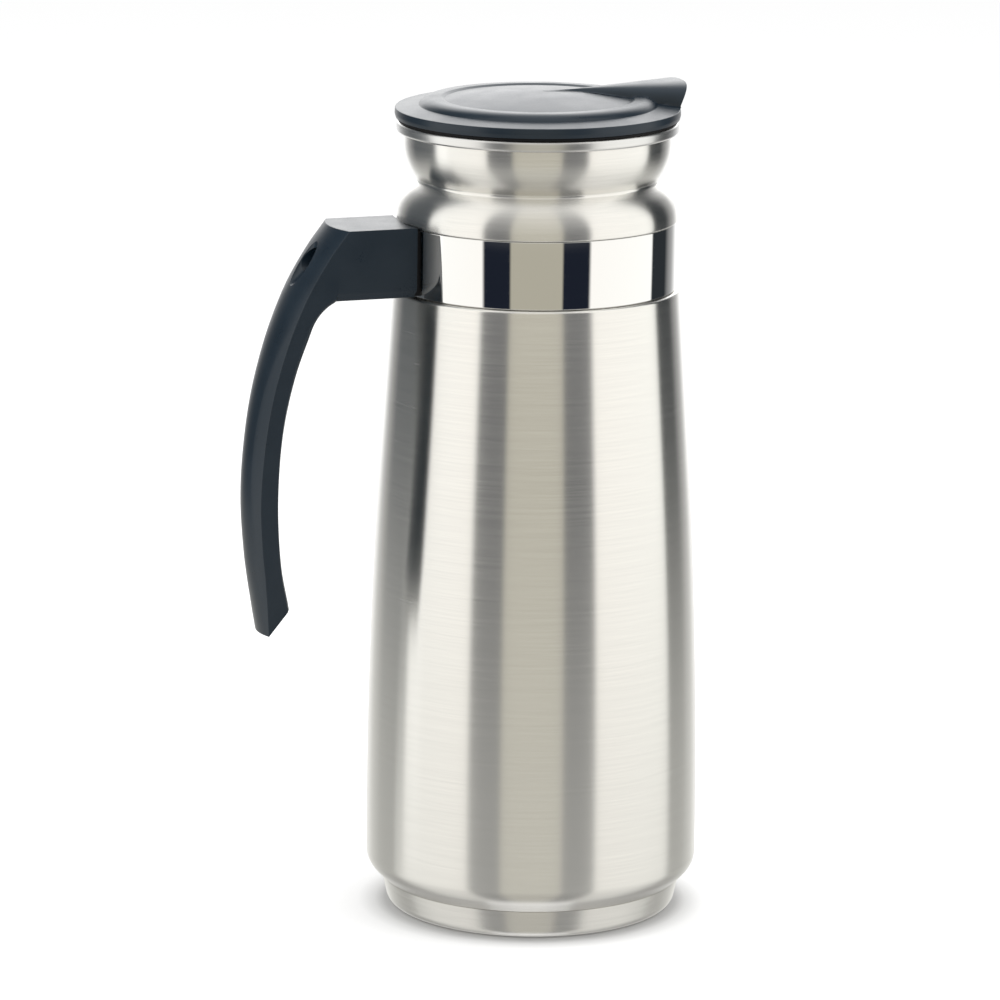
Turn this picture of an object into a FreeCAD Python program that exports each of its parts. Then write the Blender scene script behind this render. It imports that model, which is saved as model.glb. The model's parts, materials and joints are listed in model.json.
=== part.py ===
import FreeCAD, Part
import math
import os

# Vacuum-insulated steel coffee jug with a rotating pour lid and a bolted-on open handle.
# Millimetres, +Z up. The origin is the centre of the base on the vessel's axis. The handle
# is towards -X and the pouring hood of the lid is towards +X.

V = FreeCAD.Vector
AXIS = V(0, 0, 1)

# ---- driving dimensions: steel vessel ----
BODY_R = 59.9            # largest radius of the outer shell
BODY_TOP_R = 51.4        # radius at the upper edge of the body
BODY_TOP_Z = 227.8
BODY_VERTEX_Z = 99.0     # where the upright lower wall and the upper cone would meet
BODY_SWEEP_R = 2168.0    # large radius that blends them
SHELL_T = 0.8            # outer shell wall
INNER_T = 0.7            # inner vessel wall
VACUUM_GAP = 3.4         # clear space between the two walls of the body
FIT = 0.05               # clear space between sheet parts that are pressed together
SEAM_Z = 10.6            # joint between the body and the base cup
SEAM_R = 54.3
BASE_R = 51.9            # radius of the base cup at the table, before its edge is rounded
BASE_ROUND = 4.0
PAD_R = 42.6
PAD_T = 1.2
BAND_Z0 = 228.05         # polished collar band
BAND_Z1 = 252.2
BAND_R = 50.0
SEAT_R = 48.9            # recessed seat under the band
WELD_Z = 250.5           # butt welds of both necks; the outer one is hidden by the band
BOTTOM_WELD_Z = 27.5     # butt weld of the inner vessel's bottom
NECK_BULGE_R = 50.35
WAIST_R = 42.9
FLARE_R = 47.9
LIP_R = 50.2
LIP_Z = 287.6
HEM_Z = 283.75           # lower edge of the rolled lip
BORE_R = 40.2            # inside of the inner neck
INNER_NECK_R = 46.2      # outside of the inner neck above and below that bore

# ---- driving dimensions: handle ----
BOSS_Z0 = 228.3          # underside and top of the block that joins the band
BOSS_Z1 = 253.3
BOSS_END_R = 51.45       # curved end that faces the band
BOSS_HALF_W = 14.2
TIP_HALF_W = 11.0
HANDLE_CROWN = 3.0       # how far the outer face bulges past its side edges
TIP_Z = 117.2            # where the oblique cut of the tip starts on the inner face
TIP_X = -94.2
SCREW_Z = 241.0
SCREW_R = 2.5            # M5
THREAD_R = 2.1           # core of that thread
SCREW_HEAD_R = 4.2
SCREW_HEAD_T = 2.8
SCREW_SEAT_X = -71.0     # shoulder that the washer rests on
WASHER_T = 0.8
BORE_HEAD_R = 4.6        # clearance for the screw head and the driver
DISH = (4.2, 5.4, 10.2)  # half axes of the dished mouth of that bore
DISH_LEAN = 29

# ---- driving dimensions: stopper and lid ----
LID_Z = 288.7            # lower edge of the lid's skirt
LID_R = 50.9
SKIRT_R = 50.5           # lower edge of the skirt
LID_T = 1.5
LID_FLANGE_Z = 292.15    # outer edge of the flat round the raised ring
LID_RING_Z = 295.65      # crest of the raised ring
DOME_Z = 298.1           # top of the central disc
DOME_R = 180.0           # radius of curvature of the central disc
DOME_EDGE_R = 31.5       # where the disc's curvature ends
GROOVE_R = 33.2          # groove between the disc and the raised ring
DECK_Z = 288.75          # underside of the stopper's flange
DECK_T = 1.0
FLANGE_R = 48.3          # fits inside the lid's skirt
PLUG_R = 38.6
PLUG_T = 1.8
PLUG_Z = 252.0           # underside of the stopper
BASE_PLATE_T = 2.0
SEAL_Z0, SEAL_Z1 = 262.0, 266.0    # groove of the plug's seal
SLEEVE_R = 6.0           # sleeve and boss round the pivot screw
SLEEVE_L = 8.0
PORT_X = 27.0            # centre of the pouring duct from the axis
PORT_HALF_W = 10.0
PORT_HALF_L = 5.5
HOOD_Z = 300.0           # top of the pouring hood at its mouth
HOOD_FOOT_Z = 291.2      # where the hood's sides would stand
HOOD_BACK_X = 21.5       # closed end of the hood's hollow
HOOD_T = 1.7
PIVOT_R = 3.0
PIVOT_THREAD_R = 2.2


# ---- geometry helpers ----
def rounded_edges(path):
    """Edges of a path of (x, z, corner radius) points in the XZ plane, corners rounded."""
    points = [V(x, 0, z) for x, z, _ in path]
    edges = []
    start = points[0]
    for i in range(1, len(points) - 1):
        corner = points[i]
        into = (corner - points[i - 1]).normalize()
        out = (points[i + 1] - corner).normalize()
        turn = into.getAngle(out)
        radius = path[i][2]
        if radius <= 0 or turn < 1e-4:
            edges.append(Part.makeLine(start, corner))
            start = corner
            continue
        reach = radius * math.tan(turn / 2)
        first = corner - into * reach
        last = corner + out * reach
        bisector = (out - into).normalize()
        middle = corner + bisector * (radius / math.cos(turn / 2) - radius)
        if (first - start).Length > 1e-6:
            edges.append(Part.makeLine(start, first))
        edges.append(Part.Arc(first, middle, last).toShape())
        start = last
    if (points[-1] - start).Length > 1e-6:
        edges.append(Part.makeLine(start, points[-1]))
    return edges


def offset_path(path, gap):
    """The path moved sideways to its left by gap, with its corner rounds kept concentric."""
    points = [V(x, 0, z) for x, z, _ in path]
    runs = [(b - a).normalize() for a, b in zip(points, points[1:])]
    lefts = [V(-run.z, 0, run.x) for run in runs]
    moved = [points[0] + lefts[0] * gap]
    radii = [0]
    for i in range(1, len(points) - 1):
        before, after = lefts[i - 1], lefts[i]
        moved.append(points[i] + (before + after) * (gap / (1 + before.dot(after))))
        left_turn = runs[i - 1].x * runs[i].z - runs[i - 1].z * runs[i].x > 0
        radius = path[i][2] - gap if left_turn else path[i][2] + gap
        radii.append(max(radius, 0) if path[i][2] > 0 else 0)
    moved.append(points[-1] + lefts[-1] * gap)
    radii.append(0)
    return [(p.x, p.z, r) for p, r in zip(moved, radii)]


def face_between(first, second):
    """Flat face bounded by two paths that run the same way."""
    one, two = rounded_edges(first), rounded_edges(second)
    ends = []
    for a, b in ((first[0], second[0]), (first[-1], second[-1])):
        if math.hypot(a[0] - b[0], a[1] - b[1]) > 1e-6:
            ends.append(Part.makeLine(V(a[0], 0, a[1]), V(b[0], 0, b[1])))
    return Part.Face(Part.Wire(Part.__sortEdges__(one + two + ends)))


def spin(face):
    """Solid of revolution about the vessel's axis."""
    return face.revolve(V(0, 0, 0), AXIS, 360)


def shell(path, thickness):
    """Revolved wall whose outer face follows the path; the material lies on its left."""
    return spin(face_between(path, offset_path(path, thickness)))


def turned(outline):
    """Revolved closed outline of (r, z, corner radius) points; the first corner is sharp."""
    closed = outline + [(outline[0][0], outline[0][1], 0)]
    return spin(Part.Face(Part.Wire(rounded_edges(closed))))


def ring(inner, outer, z0, z1, chamfer=0):
    """Plain ring or disc, with an optional chamfer on its outer edges."""
    if chamfer:
        points = [(inner, z0), (outer - chamfer, z0), (outer, z0 + chamfer),
                  (outer, z1 - chamfer), (outer - chamfer, z1), (inner, z1)]
    else:
        points = [(inner, z0), (outer, z0), (outer, z1), (inner, z1)]
    return turned([(r, z, 0) for r, z in points])


def box(x0, x1, y0, y1, z0, z1):
    return Part.makeBox(x1 - x0, y1 - y0, z1 - z0, V(x0, y0, z0))


def rod(radius, length, start, direction):
    return Part.makeCylinder(radius, length, start, direction)


def slot_prism(x, half_length, half_width, z0, z1):
    """Upright prism with a rounded oblong section, long across Y."""
    round_r = half_length
    straight = half_width - round_r
    core = box(x - round_r, x + round_r, -straight, straight, z0, z1)
    for side in (-1, 1):
        core = core.fuse(rod(round_r, z1 - z0, V(x, side * straight, z0), AXIS))
    return core.removeSplitter()


def lofted(sections):
    return Part.makeLoft(sections, True, False)


# ---- vessel ----
def cup_slope_r(z):
    """Outer radius of the base cup at a height."""
    return BASE_R + (SEAM_R - BASE_R) * z / SEAM_Z


CUP_LEAN = math.atan((SEAM_R - BASE_R) / SEAM_Z)
CUP_INSET = (SHELL_T + FIT) / math.cos(CUP_LEAN)     # level distance from the cup to the skirt
CUP_TOP_Z = SEAM_Z - SHELL_T * math.sin(CUP_LEAN) - FIT
SKIRT_Z = 5.0            # lower edge of the body's skirt inside the cup
SHOULDER_Z = 16.2        # where the body's lowest corner would be sharp


def body_path():
    """Outer surface of the body, from the skirt in the base cup up to the neck weld."""
    return [(cup_slope_r(SKIRT_Z) - CUP_INSET, SKIRT_Z, 0),
            (cup_slope_r(SEAM_Z) - CUP_INSET, SEAM_Z, 0.4),
            (SEAM_R + 0.1, SEAM_Z + 0.1, 0.2),
            (BODY_R, SHOULDER_Z, 8.0),
            (BODY_R, BODY_VERTEX_Z, BODY_SWEEP_R),
            (BODY_TOP_R, BODY_TOP_Z, 1.0),
            (SEAT_R, BODY_TOP_Z, 0.6),
            (SEAT_R, WELD_Z, 0)]


def base_cup():
    path = [(0, PAD_T, 0), (PAD_R + 0.2, PAD_T, 0.8), (PAD_R + 1.6, 0, 0.9),
            (BASE_R, 0, BASE_ROUND), (cup_slope_r(CUP_TOP_Z), CUP_TOP_Z, 0)]
    return shell(path, SHELL_T)


def base_pad():
    """Soft disc under the cup, with three grooves in its sole."""
    pad = ring(0, PAD_R - 0.6, 0, PAD_T - FIT)
    for r in (30.0, 34.0, 38.0):
        pad = pad.cut(ring(r, r + 1.6, -1, 0.5))
    return pad


def outer_shell():
    return shell(body_path(), SHELL_T)


def neck_shell():
    """Outer neck: a bulge over the band, a tight waist and a flare up into the rolled lip."""
    low = BAND_Z1 + 0.1
    path = [(SEAT_R, WELD_Z, 0), (SEAT_R, low, 0.6), (NECK_BULGE_R, low, 0.5),
            (NECK_BULGE_R, 260.3, 15.8), (WAIST_R, 266.9, 1.15), (FLARE_R, 273.5, 20.5),
            (FLARE_R, LIP_Z - INNER_T - FIT, 0)]
    return shell(path, INNER_T)


WALL_STEP = VACUUM_GAP + SHELL_T     # from the outer shell's outside to the inner one's


def inner_bottom():
    path = [(0, 16.5, 0), (28, 15.2, 60), (BODY_R - WALL_STEP, 19.5, 9),
            (BODY_R - WALL_STEP, BOTTOM_WELD_Z, 0)]
    return shell(path, INNER_T)


def inner_vessel():
    path = [(BODY_R - WALL_STEP, BOTTOM_WELD_Z, 0),
            (BODY_R - WALL_STEP, BODY_VERTEX_Z, BODY_SWEEP_R - WALL_STEP),
            (BODY_TOP_R - WALL_STEP, 226.5, 12), (INNER_NECK_R, 236, 12),
            (INNER_NECK_R, WELD_Z, 0)]
    return shell(path, INNER_T)


def inner_neck():
    """Neck of the inner vessel: the stopper's bore, and the mouth rolled over the outer lip."""
    bore = BORE_R + INNER_T
    fold_r, fold_z = LIP_R - INNER_T, LIP_Z - INNER_T
    path = [(INNER_NECK_R, WELD_Z, 0), (INNER_NECK_R, 253.2, 8), (bore, 261.0, 6),
            (bore, 269.5, 5), (INNER_NECK_R, 277.2, 8), (INNER_NECK_R, fold_z, 0.3),
            (fold_r, fold_z, 0.9), (fold_r, HEM_Z + INNER_T, 0.3),
            (FLARE_R + FIT, HEM_Z + INNER_T, 0)]
    return shell(path, INNER_T)


def radiation_foil():
    gap = WALL_STEP - 0.4
    path = [(BODY_R - gap, BOTTOM_WELD_Z - 0.5, 0),
            (BODY_R - gap, BODY_VERTEX_Z, BODY_SWEEP_R - gap),
            (BODY_TOP_R - gap + 0.4, 219, 0)]
    return shell(path, 0.2)


DIMPLE_Z = 10.2
CLOSURE_Z = 8.0


def shell_bottom():
    """Pressed disc that closes the vacuum space, with a dimple and its evacuation hole."""
    path = [(1.5, DIMPLE_Z, 0), (6.5, DIMPLE_Z, 1.0), (9.0, CLOSURE_Z, 1.0),
            (50.5, CLOSURE_Z, 1.0), (49.55, 5.3, 0)]
    return shell(path, SHELL_T)


def vacuum_plug():
    bead = ring(0, 4.5, DIMPLE_Z - 0.9, DIMPLE_Z, 0.3)
    stem = rod(1.5, 1.2, V(0, 0, DIMPLE_Z - 0.2), AXIS)
    return bead.fuse(stem).removeSplitter()


GETTER_X = 28.0
GETTER_H = 2.0


def getter():
    return rod(4.0, GETTER_H, V(GETTER_X, 0, CLOSURE_Z + SHELL_T), AXIS)


def getter_clip():
    floor = CLOSURE_Z + SHELL_T
    clip = box(GETTER_X - 1.5, GETTER_X + 1.5, -7.5, 7.5, floor, floor + GETTER_H + 0.3)
    return clip.cut(box(GETTER_X - 2, GETTER_X + 2, -4.05, 4.05, floor - 1, floor + GETTER_H))


BAND_SPLIT = 6.0


def collar_band():
    """Polished ring over the seat, split behind the handle so that it can be closed on it."""
    inside = SEAT_R + FIT
    corner = 0.7             # clears the rounds at both ends of the seat
    band = turned([(inside + corner, BAND_Z0, 0), (BAND_R, BAND_Z0, 0.3), (BAND_R, BAND_Z1, 0.3),
                   (inside + corner, BAND_Z1, 0), (inside, BAND_Z1 - corner, 0),
                   (inside, BAND_Z0 + corner, 0)])
    return band.cut(box(-60, -40, -BAND_SPLIT / 2, BAND_SPLIT / 2, BAND_Z0 - 1, BAND_Z1 + 1))


# ---- handle and its fastening ----
SADDLE_HALF_W = 8.5
SADDLE_Z0, SADDLE_Z1 = 231.5, 250.5
STUD_R = 5.0
STUD_END_X = -62.0


def curved_plate(inner, outer, half_w, z0, z1):
    """Plate bent round the band on the handle's side."""
    return ring(inner, outer, z0, z1).common(box(-70, -30, -half_w, half_w, z0, z1))


def handle_bracket():
    """Saddle plate welded to the band, with a threaded stud boss for the handle's screw."""
    saddle = curved_plate(BAND_R + 0.02, BAND_R + 1.0, SADDLE_HALF_W, SADDLE_Z0, SADDLE_Z1)
    boss = rod(STUD_R, -STUD_END_X - BAND_R, V(STUD_END_X, 0, SCREW_Z), V(1, 0, 0))
    bore = rod(THREAD_R, 12.5, V(STUD_END_X - 1, 0, SCREW_Z), V(1, 0, 0))
    return saddle.fuse(boss).removeSplitter().cut(bore)


def handle_gasket():
    """Soft frame between the handle's curved end and the band, round the saddle plate."""
    pad = curved_plate(BAND_R + 0.02, BOSS_END_R, BOSS_HALF_W - 1.0, BOSS_Z0 + 0.6, BAND_Z1)
    window = box(-60, -40, -SADDLE_HALF_W - 0.2, SADDLE_HALF_W + 0.2,
                 SADDLE_Z0 - 0.3, SADDLE_Z1 + 0.3)
    return pad.cut(window)


def outer_line():
    """Side view of the handle's crown, from its top corner down to its tip."""
    return [(-75.8, 256.0), (-85.3, 243.0), (-93.9, 228.6), (-101.0, 209.5), (-106.3, 187.0),
            (-109.2, 160.0), (-108.2, 136.0), (-104.4, 112.0), (-102.6, 104.0)]


def inner_line():
    """Side view of the grip's inner face, from its foot up to the fillet under the boss."""
    return [(TIP_X, 112.0), (-97.9, 132.0), (-99.3, 155.0), (-97.9, 180.0), (-93.4, 202.0),
            (-87.2, 219.0)]


def spline(points):
    curve = Part.BSplineCurve()
    curve.interpolate([V(x, 0, z) for x, z in points])
    return curve


def handle_side():
    """Flat side-view outline of the whole handle, a little fuller than its crown."""
    margin = 3.0
    outer = [(x - margin, z) for x, z in outer_line()]
    inner = inner_line()
    back = spline(outer).toShape()
    front = spline(inner).toShape()
    low_out, low_in = V(outer[-1][0], 0, outer[-1][1]), V(inner[0][0], 0, inner[0][1])
    top_out = V(outer[0][0], 0, outer[0][1])
    grip_top = V(inner[-1][0], 0, inner[-1][1])
    fillet_end = V(-77.0, 0, BOSS_Z0)
    fillet = Part.Arc(grip_top, V(-83.6, 0, 225.5), fillet_end).toShape()
    corner = V(-45, 0, BOSS_Z0)
    top = V(-45, 0, top_out.z)
    edges = [back, Part.makeLine(low_out, low_in), front, fillet,
             Part.makeLine(fillet_end, corner), Part.makeLine(corner, top),
             Part.makeLine(top, top_out)]
    return Part.Face(Part.Wire(Part.__sortEdges__(edges)))


def half_width(z):
    """Half the handle's width at a height: wide at the boss, narrower towards the tip."""
    share = min(max((z - 110) / (235 - 110), 0), 1)
    return TIP_HALF_W + (BOSS_HALF_W - TIP_HALF_W) * share ** 1.3


def crown_section(x, z):
    """Level section whose outer side is the crowned outer face of the handle."""
    w = half_width(z)
    left, right = V(x + HANDLE_CROWN, -w, z), V(x + HANDLE_CROWN, w, z)
    back_l, back_r = V(-30, -w, z), V(-30, w, z)
    return Part.Wire([Part.Arc(left, V(x, 0, z), right).toShape(), Part.makeLine(right, back_r),
                      Part.makeLine(back_r, back_l), Part.makeLine(back_l, left)])


def handle():
    crown = lofted([crown_section(x, z) for x, z in outer_line()])
    side = handle_side().extrude(V(0, 40, 0))
    side.translate(V(0, -20, 0))
    body = crown.common(side)
    # flat top of the boss, the oblique cut at the tip and the curved end at the band
    body = body.cut(box(-120, -30, -30, 30, BOSS_Z1, 300))
    slant = Part.makePolygon([V(-130, 0, TIP_Z - 42.2), V(TIP_X, 0, TIP_Z), V(-80, 0, TIP_Z),
                              V(-80, 0, TIP_Z - 42.2), V(-130, 0, TIP_Z - 42.2)])
    cutter = Part.Face(slant).extrude(V(0, 60, 0))
    cutter.translate(V(0, -30, 0))
    body = body.cut(cutter)
    body = body.cut(ring(0, BOSS_END_R, BOSS_Z0 - 5, BOSS_Z1 + 5))
    edges = [edge for edge in body.Edges if edge.BoundBox.XMin < -56 and edge.Length > 8]
    body = body.makeFillet(0.9, edges)
    # socket for the bracket's boss, screw bore, driver bore and the dished mouth round it
    body = body.cut(rod(STUD_R + 0.1, 20, V(STUD_END_X - 0.3, 0, SCREW_Z), V(1, 0, 0)))
    body = body.cut(rod(SCREW_R + 0.25, 30, V(SCREW_SEAT_X - 5, 0, SCREW_Z), V(1, 0, 0)))
    body = body.cut(rod(BORE_HEAD_R, 40, V(SCREW_SEAT_X - 40, 0, SCREW_Z), V(1, 0, 0)))
    dish = Part.makeSphere(1.0)
    squash = FreeCAD.Matrix()
    squash.scale(V(*DISH))
    dish = dish.transformGeometry(squash)
    dish.rotate(V(0, 0, 0), V(0, 1, 0), DISH_LEAN)
    dish.translate(V(-87.4, 0, SCREW_Z + 0.5))
    return body.cut(dish)


def handle_washer():
    washer = rod(4.4, WASHER_T, V(SCREW_SEAT_X - WASHER_T, 0, SCREW_Z), V(1, 0, 0))
    return washer.cut(rod(SCREW_R + 0.1, 3, V(SCREW_SEAT_X - 2, 0, SCREW_Z), V(1, 0, 0)))


def handle_screw():
    """Socket-head screw; its thread ends inside the bracket's stud boss."""
    head_x = SCREW_SEAT_X - WASHER_T
    shank_end = STUD_END_X - 0.1
    head = rod(SCREW_HEAD_R, SCREW_HEAD_T, V(head_x - SCREW_HEAD_T, 0, SCREW_Z), V(1, 0, 0))
    shank = rod(SCREW_R - 0.02, shank_end - head_x + 0.1, V(head_x - 0.1, 0, SCREW_Z), V(1, 0, 0))
    thread = rod(THREAD_R - 0.01, 9.5, V(shank_end - 0.1, 0, SCREW_Z), V(1, 0, 0))
    key_r, key_depth = 1.7, 1.9
    corners = [V(head_x - SCREW_HEAD_T, key_r * math.cos(a), SCREW_Z + key_r * math.sin(a))
               for a in [math.radians(60 * i) for i in range(7)]]
    socket = Part.Face(Part.makePolygon(corners)).extrude(V(key_depth, 0, 0))
    return head.fuse(shank).fuse(thread).removeSplitter().cut(socket)


# ---- stopper ----
FLOOR_Z = DECK_Z + DECK_T + 0.25    # underside of the plate in the lid
FLOOR_T = 0.8
DUCT_WALL = 1.4


def duct(grow, z0, z1):
    return slot_prism(PORT_X, PORT_HALF_L + grow, PORT_HALF_W + grow, z0, z1)


def stopper_body():
    """Moulded cup with a top flange, a pouring duct and a central pivot sleeve."""
    foot_z = PLUG_Z + BASE_PLATE_T
    cup = turned([(0, DECK_Z, 0), (PLUG_R - PLUG_T, DECK_Z, 0), (PLUG_R - PLUG_T, foot_z, 0),
                  (PLUG_R, foot_z, 0), (PLUG_R, DECK_Z, 1.0), (FLANGE_R, DECK_Z, 0),
                  (FLANGE_R, DECK_Z + DECK_T, 0.4), (0, DECK_Z + DECK_T, 0)])
    cup = cup.cut(ring(PLUG_R - 1.0, PLUG_R + 1, SEAL_Z0, SEAL_Z1))
    cup = cup.fuse(duct(DUCT_WALL, foot_z, DECK_Z + 0.5))
    cup = cup.fuse(rod(SLEEVE_R, SLEEVE_L, V(0, 0, DECK_Z - SLEEVE_L), AXIS))
    cup = cup.cut(duct(0, PLUG_Z - 5, DECK_Z + 5))
    return cup.cut(rod(PIVOT_R + FIT, 20, V(0, 0, DECK_Z - 12), AXIS)).removeSplitter()


def stopper_base():
    """Plate welded over the foam-filled chamber, open only at the duct."""
    foot_z = PLUG_Z + BASE_PLATE_T
    inside = PLUG_R - PLUG_T - FIT
    plate = ring(0, PLUG_R, PLUG_Z, foot_z, 0.6)
    lip = ring(inside - 1.15, inside, foot_z, foot_z + 2)
    lip = lip.cut(duct(DUCT_WALL + 0.2, PLUG_Z, foot_z + 4))
    return plate.fuse(lip).removeSplitter().cut(duct(0, PLUG_Z - 2, foot_z + 3))


def stopper_foam():
    foam = ring(0, PLUG_R - PLUG_T - 1.4, PLUG_Z + BASE_PLATE_T + 0.1, DECK_Z - SLEEVE_L - 0.2)
    foam = foam.cut(duct(DUCT_WALL + 0.1, PLUG_Z, DECK_Z))
    return foam.cut(rod(SLEEVE_R + 2, 20, V(0, 0, DECK_Z - 18), AXIS))


def stopper_seal():
    """Silicone ring in the plug's groove, with two soft lips against the neck."""
    lip_r = BORE_R - 0.08
    foot_r = PLUG_R - 1.0 + FIT
    low, high = SEAL_Z0 + 0.1, SEAL_Z1 - 0.1
    return turned([(foot_r, low, 0), (lip_r - 0.4, low, 0.2), (lip_r, low + 0.8, 0.2),
                   (lip_r - 0.6, low + 1.8, 0.2), (lip_r, low + 2.8, 0.2),
                   (lip_r - 0.5, high, 0.2), (foot_r, high, 0)])


def rim_seal():
    """Flat black ring under the flange; its edge shows between the rim and the lid."""
    low, high = LIP_Z + FIT, DECK_Z - FIT
    return turned([(46.4, low, 0), (49.9, low, 0.3), (49.9, high, 0.3), (46.4, high, 0)])


def port_seal():
    """Soft gasket round the duct, between the stopper's deck and the lid's plate."""
    top = DECK_Z + DECK_T
    return duct(2.2, top, top + 0.2).cut(duct(0.6, top - 1, top + 1))


# ---- rotating lid ----
def lid_path():
    """Outer surface of the lid without its hood, from the skirt's edge to the centre."""
    dome_slope = math.asin(DOME_EDGE_R / DOME_R)
    dome_reach = DOME_R * math.tan(dome_slope / 2)
    groove_z = DOME_Z - (GROOVE_R - dome_reach) * math.tan(dome_slope)
    return [(SKIRT_R, LID_Z, 0), (LID_R, LID_Z + 1.4, 2.0), (LID_R - 0.15, LID_FLANGE_Z, 0.6),
            (42.4, LID_FLANGE_Z + 1.0, 0.5), (40.3, LID_RING_Z, 6.0), (34.5, LID_RING_Z, 1.2),
            (GROOVE_R, groove_z, 0.4), (dome_reach, DOME_Z, DOME_R), (0, DOME_Z, 0)]


def hood_section(x, half_w, top, base):
    """Upright arch across the lid: nearly straight sides and a full, softly rounded top."""
    rise = top - base
    half = [(1.0, 0.0), (0.97, 0.40), (0.83, 0.78), (0.48, 0.96), (0, 1.0)]
    points = [V(x, -s * half_w, base + r * rise) for s, r in half]
    points += [V(x, s * half_w, base + r * rise) for s, r in reversed(half[:-1])]
    arch = Part.BSplineCurve()
    arch.interpolate(points)
    return Part.Wire([arch.toShape(), Part.makeLine(points[-1], points[0])])


def hood_block(inset):
    """Widening hood from the middle of the disc to past the rim, shrunk by inset all over."""
    stations = [(13.0, 2.2), (22.0, 4.6), (31.0, 7.4), (40.0, 10.6), (48.0, 13.6), (55.0, 16.0)]
    start, reach = stations[0][0], 39.0      # the crest rises over this reach
    sections = []
    for x, half_w in stations:
        crest = DOME_Z - 0.1 + (HOOD_Z - DOME_Z + 0.1) * ((x - start) / reach) ** 0.9
        sections.append(hood_section(x, max(half_w - inset, 0.6), crest - inset, HOOD_FOOT_Z))
    return lofted(sections)


def mouth_limit():
    """Cone that trims the hood's mouth: it overhangs most at the top."""
    low_r, high_r = LID_R - 0.3, LID_R + 3.2
    low_z, high_z = HOOD_FOOT_Z + 0.4, HOOD_Z + 1.1
    return turned([(0, 280, 0), (low_r, 280, 0), (low_r, low_z, 0), (high_r, high_z, 0),
                   (0, high_z, 0)])


def lid_cover():
    cover = shell(lid_path(), LID_T)
    hood = hood_block(0).common(mouth_limit())
    cavity = hood_block(HOOD_T).common(box(HOOD_BACK_X, 60, -20, 20, 280, 310))
    cover = cover.fuse(hood).removeSplitter()
    cover = cover.cut(cavity)
    boss = ring(0, SLEEVE_R, FLOOR_Z, DOME_Z - 0.9)
    cover = cover.fuse(boss)
    # room for the stopper's flange inside the skirt
    cover = cover.cut(ring(0, FLANGE_R + 0.35, LID_Z - 2, FLOOR_Z))
    return cover.cut(rod(PIVOT_THREAD_R, 7.0, V(0, 0, FLOOR_Z - 1), AXIS)).removeSplitter()


def channel_floor():
    """Plate snapped into the lid; it carries the inlet of the hood and shuts the duct."""
    plate = ring(SLEEVE_R + 0.1, FLANGE_R - 0.7, FLOOR_Z, FLOOR_Z + FLOOR_T)
    return plate.cut(duct(0, FLOOR_Z - 1, FLOOR_Z + 3))


PIVOT_HEAD_Z = DECK_Z - SLEEVE_L - 0.9      # top of the shoulder screw's head


def pivot_screw():
    """Shoulder screw from inside the stopper up into the lid's boss."""
    head_t = 2.3
    head = rod(5.2, head_t, V(0, 0, PIVOT_HEAD_Z - head_t), AXIS)
    shoulder = rod(PIVOT_R, FLOOR_Z - PIVOT_HEAD_Z, V(0, 0, PIVOT_HEAD_Z), AXIS)
    thread = rod(PIVOT_THREAD_R - 0.01, 5.6, V(0, 0, FLOOR_Z - 0.1), AXIS)
    low, high = PIVOT_HEAD_Z - head_t - 1, PIVOT_HEAD_Z - 0.9
    cross = box(-2.4, 2.4, -0.5, 0.5, low, high).fuse(box(-0.5, 0.5, -2.4, 2.4, low, high))
    return head.fuse(shoulder).fuse(thread).removeSplitter().cut(cross)


def wave_washer():
    return ring(PIVOT_R + FIT, 5.0, PIVOT_HEAD_Z + 0.15, PIVOT_HEAD_Z + 0.55)


MAKERS = [base_cup, base_pad, outer_shell, neck_shell, inner_bottom, inner_vessel, inner_neck,
          radiation_foil, shell_bottom, vacuum_plug, getter, getter_clip, collar_band, handle_bracket,
          handle_gasket, handle, handle_washer, handle_screw, stopper_body, stopper_base,
          stopper_foam, stopper_seal, rim_seal, port_seal, lid_cover, channel_floor,
          pivot_screw, wave_washer]

os.makedirs("parts", exist_ok=True)
for maker in MAKERS:
    name = maker.__name__
    shape = maker()
    if shape.ShapeType == "Compound" and len(shape.Solids) == 1:
        shape = shape.Solids[0]
    print(name, len(shape.Solids), shape.isValid(), round(shape.Volume, 1))
    shape.exportStep("parts/" + name + ".step")
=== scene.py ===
import json
import math
import bmesh
import bpy
from mathutils import Matrix, Vector


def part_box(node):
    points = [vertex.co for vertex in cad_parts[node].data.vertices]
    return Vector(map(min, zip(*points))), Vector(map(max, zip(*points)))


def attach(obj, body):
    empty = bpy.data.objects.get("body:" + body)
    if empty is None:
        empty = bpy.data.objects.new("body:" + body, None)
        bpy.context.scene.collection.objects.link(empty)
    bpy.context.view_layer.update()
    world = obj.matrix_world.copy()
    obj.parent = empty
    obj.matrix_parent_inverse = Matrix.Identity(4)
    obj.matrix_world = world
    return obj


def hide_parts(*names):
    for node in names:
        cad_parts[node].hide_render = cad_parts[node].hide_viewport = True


# Vacuum-insulated steel jug with a rotating pour lid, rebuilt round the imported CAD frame.
# Metres, +Z up, base on Z = 0, handle towards -X and pouring hood towards +X.

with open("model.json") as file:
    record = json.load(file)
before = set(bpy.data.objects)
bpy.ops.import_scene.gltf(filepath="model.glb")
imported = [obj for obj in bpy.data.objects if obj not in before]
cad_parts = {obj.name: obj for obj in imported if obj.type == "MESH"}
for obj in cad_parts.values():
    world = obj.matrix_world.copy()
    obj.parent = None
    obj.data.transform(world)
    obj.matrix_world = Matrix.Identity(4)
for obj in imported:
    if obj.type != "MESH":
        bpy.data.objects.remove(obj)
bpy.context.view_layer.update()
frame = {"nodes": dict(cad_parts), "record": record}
nodes = frame["nodes"]
MM = 0.001
AXIS_POINTS = 224            # steps round every turned piece
CREASE = 32                  # degrees: edges sharper than this are shaded crisp
CUT_CREASE = 34              # the same on a piece that has been cut or bevelled
HOOD_CREASE = 38


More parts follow.
